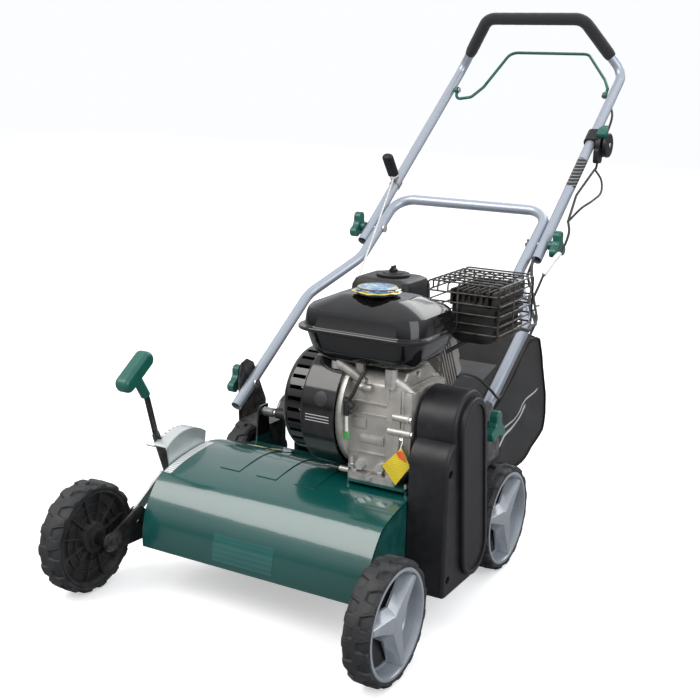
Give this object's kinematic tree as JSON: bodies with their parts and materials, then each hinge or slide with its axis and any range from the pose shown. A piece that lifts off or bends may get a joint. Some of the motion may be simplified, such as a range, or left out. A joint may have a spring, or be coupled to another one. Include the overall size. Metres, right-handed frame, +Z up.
{
  "type": "lawn dethatcher",
  "caption": "Walk-behind petrol lawn dethatcher with green deck, folding tube handle, depth lever, wheels, belt drive and rear collection bag.",
  "frame": {"origin": "middle of the bounding box at ground level", "axes": "+X to the belt cover side, +Y to the rear towards the operator, +Z up"},
  "size_m": [0.646, 1.4536, 1.0455],
  "materials": {
    "deck_green": "gloss",
    "black_paint": "semi-gloss",
    "tube_silver": "satin metallic",
    "zinc": "zinc plated",
    "steel": "ground",
    "cast_alloy": "as cast",
    "black_plastic": "moulded grain",
    "gloss_black": "gloss",
    "green_plastic": "satin",
    "rim_grey": "satin",
    "rubber_black": "matt",
    "tyre_rubber": "matt, dusty",
    "foam": "foam",
    "bag_fabric": "woven"
  },
  "bodies": {
    "chassis": {"deck_shell": "deck_green", "deck_sides": "deck_green", "engine_bracket": "black_paint", "handle_brackets": "black_paint", "rear_axle": "steel", "bearings": "steel", "depth_sector": "zinc", "chassis_bolts": "zinc", "flap_rod": "zinc", "flap_spring": "steel", "belt_cover": "black_plastic", "belt_cover_back": "black_plastic", "drive_belt": "rubber_black", "crankcase": "cast_alloy", "cylinder": "cast_alloy", "fan_cover": "gloss_black", "fuel_tank": "gloss_black", "air_filter": "black_plastic", "carburettor": "cast_alloy", "muffler": "black_paint", "muffler_guard": "black_paint", "ignition_lead": "rubber_black", "engine_bolts": "zinc"},
    "crank": {"crankshaft": "steel"},
    "rotor": {"rotor_shaft": "steel", "rotor_knives": "black_paint"},
    "tensioner": {"tension_arm": "steel"},
    "idler": {"idler_pulley": "steel"},
    "cap": {"fuel_cap": "gloss_black"},
    "filter_nut": {"air_filter_knob": "black_plastic"},
    "front_arms": {"front_axle": "black_paint"},
    "lever": {"depth_lever": "black_paint", "depth_grip": "green_plastic"},
    "link": {"depth_link": "zinc"},
    "wheel_fl": {"tyre_front_left": "tyre_rubber", "rim_front_left": "rim_grey"},
    "wheel_fr": {"tyre_front_right": "tyre_rubber", "rim_front_right": "rim_grey"},
    "wheel_rl": {"tyre_rear_left": "tyre_rubber", "rim_rear_left": "rim_grey"},
    "wheel_rr": {"tyre_rear_right": "tyre_rubber", "rim_rear_right": "rim_grey"},
    "handle_low": {"lower_handle": "tube_silver", "handle_bolts": "zinc", "cables_lower": "rubber_black"},
    "handle_up": {"upper_handle": "tube_silver", "foam_grip": "foam", "throttle_housing": "black_plastic", "cables_upper": "rubber_black", "starter_guide": "steel"},
    "bail_bar": {"bail": "green_plastic"},
    "throttle": {"throttle_lever": "green_plastic"},
    "pull_grip": {"starter_grip": "black_plastic"},
    "knob_ll": {"knob_lower_left": "green_plastic"},
    "knob_lr": {"knob_lower_right": "green_plastic"},
    "knob_ul": {"knob_upper_left": "green_plastic"},
    "knob_ur": {"knob_upper_right": "green_plastic"},
    "flap": {"rear_flap": "black_plastic"},
    "bag": {"collection_bag": "bag_fabric", "bag_frame": "black_paint"}
  },
  "joints": [
    {"name": "depth_adjust", "type": "hinge", "parent": "chassis", "child": "front_arms", "pos_m": [0, -0.514, 0.0952], "axis": [1, 0, 0], "range_deg": [-25, 0]},
    {"name": "depth_lever_swing", "type": "hinge", "parent": "chassis", "child": "lever", "pos_m": [-0.245, -0.4548, 0.163], "axis": [1, 0, 0], "range_deg": [-50, 0]},
    {"name": "depth_link_pivot", "type": "hinge", "parent": "lever", "child": "link", "pos_m": [-0.25, -0.47673, 0.17697], "axis": [1, 0, 0], "range_deg": [0, 50]},
    {"name": "wheel_front_left_spin", "type": "hinge", "parent": "front_arms", "child": "wheel_fl", "pos_m": [-0.3, -0.6268, 0.1], "axis": [1, 0, 0], "continuous": true},
    {"name": "wheel_front_right_spin", "type": "hinge", "parent": "front_arms", "child": "wheel_fr", "pos_m": [0.3, -0.6268, 0.1], "axis": [1, 0, 0], "continuous": true},
    {"name": "wheel_rear_left_spin", "type": "hinge", "parent": "chassis", "child": "wheel_rl", "pos_m": [-0.277, -0.1388, 0.1], "axis": [1, 0, 0], "continuous": true},
    {"name": "wheel_rear_right_spin", "type": "hinge", "parent": "chassis", "child": "wheel_rr", "pos_m": [0.277, -0.1388, 0.1], "axis": [1, 0, 0], "continuous": true},
    {"name": "rotor_spin", "type": "hinge", "parent": "chassis", "child": "rotor", "pos_m": [0, -0.3648, 0.103], "axis": [1, 0, 0], "continuous": true},
    {"name": "crank_spin", "type": "hinge", "parent": "chassis", "child": "crank", "pos_m": [0, -0.3588, 0.344], "axis": [1, 0, 0], "continuous": true},
    {"name": "handle_tilt", "type": "hinge", "parent": "chassis", "child": "handle_low", "pos_m": [0, -0.1888, 0.289], "axis": [1, 0, 0], "range_deg": [-6, 8]},
    {"name": "handle_fold", "type": "hinge", "parent": "handle_low", "child": "handle_up", "pos_m": [0, 0.21255, 0.56484], "axis": [1, 0, 0], "range_deg": [0, 122]},
    {"name": "bail_squeeze", "type": "hinge", "parent": "handle_up", "child": "bail_bar", "pos_m": [0, 0.60233, 0.86177], "axis": [1, 0, 0], "range_deg": [0, 40]},
    {"name": "tensioner_swing", "type": "hinge", "parent": "chassis", "child": "tensioner", "pos_m": [0.252, -0.4268, 0.272], "axis": [1, 0, 0], "range_deg": [0, 10]},
    {"name": "idler_spin", "type": "hinge", "parent": "tensioner", "child": "idler", "pos_m": [0.27, -0.4288, 0.215], "axis": [1, 0, 0], "continuous": true},
    {"name": "throttle_turn", "type": "hinge", "parent": "handle_up", "child": "throttle", "pos_m": [0.233, 0.48462, 0.75706], "axis": [1, 0, 0], "range_deg": [-30, 30]},
    {"name": "starter_pull", "type": "slide", "parent": "handle_up", "child": "pull_grip", "axis": [0, -0.606, 0.7955], "range_m": [0, 0.12]},
    {"name": "knob_lower_left_turn", "type": "hinge", "parent": "handle_low", "child": "knob_ll", "pos_m": [-0.279, -0.1888, 0.289], "axis": [1, 0, 0], "continuous": true},
    {"name": "knob_lower_right_turn", "type": "hinge", "parent": "handle_low", "child": "knob_lr", "pos_m": [0.279, -0.1888, 0.289], "axis": [1, 0, 0], "continuous": true},
    {"name": "knob_upper_left_turn", "type": "hinge", "parent": "handle_low", "child": "knob_ul", "pos_m": [-0.231, 0.21255, 0.56484], "axis": [1, 0, 0], "continuous": true},
    {"name": "knob_upper_right_turn", "type": "hinge", "parent": "handle_low", "child": "knob_ur", "pos_m": [0.231, 0.21255, 0.56484], "axis": [1, 0, 0], "continuous": true},
    {"name": "flap_lift", "type": "hinge", "parent": "chassis", "child": "flap", "pos_m": [0, -0.2068, 0.24], "axis": [1, 0, 0], "range_deg": [0, 22]},
    {"name": "bag_remove", "type": "slide", "parent": "chassis", "child": "bag", "axis": [0, 1, 0], "range_m": [0, 0.25]},
    {"name": "fuel_cap_turn", "type": "hinge", "parent": "chassis", "child": "cap", "pos_m": [0.141, -0.3888, 0.556], "axis": [0, 0, 1], "range_deg": [-90, 0]},
    {"name": "filter_nut_turn", "type": "hinge", "parent": "chassis", "child": "filter_nut", "pos_m": [0.075, -0.2068, 0.556], "axis": [0, 0, 1], "continuous": true}
  ],
  "couplings": [
    {"joint": "depth_lever_swing", "follows": "depth_adjust", "ratio": 2},
    {"joint": "depth_link_pivot", "follows": "depth_adjust", "ratio": -2},
    {"joint": "crank_spin", "follows": "rotor_spin", "ratio": 1.0667},
    {"joint": "tensioner_swing", "follows": "bail_squeeze", "ratio": 0.25}
  ]
}
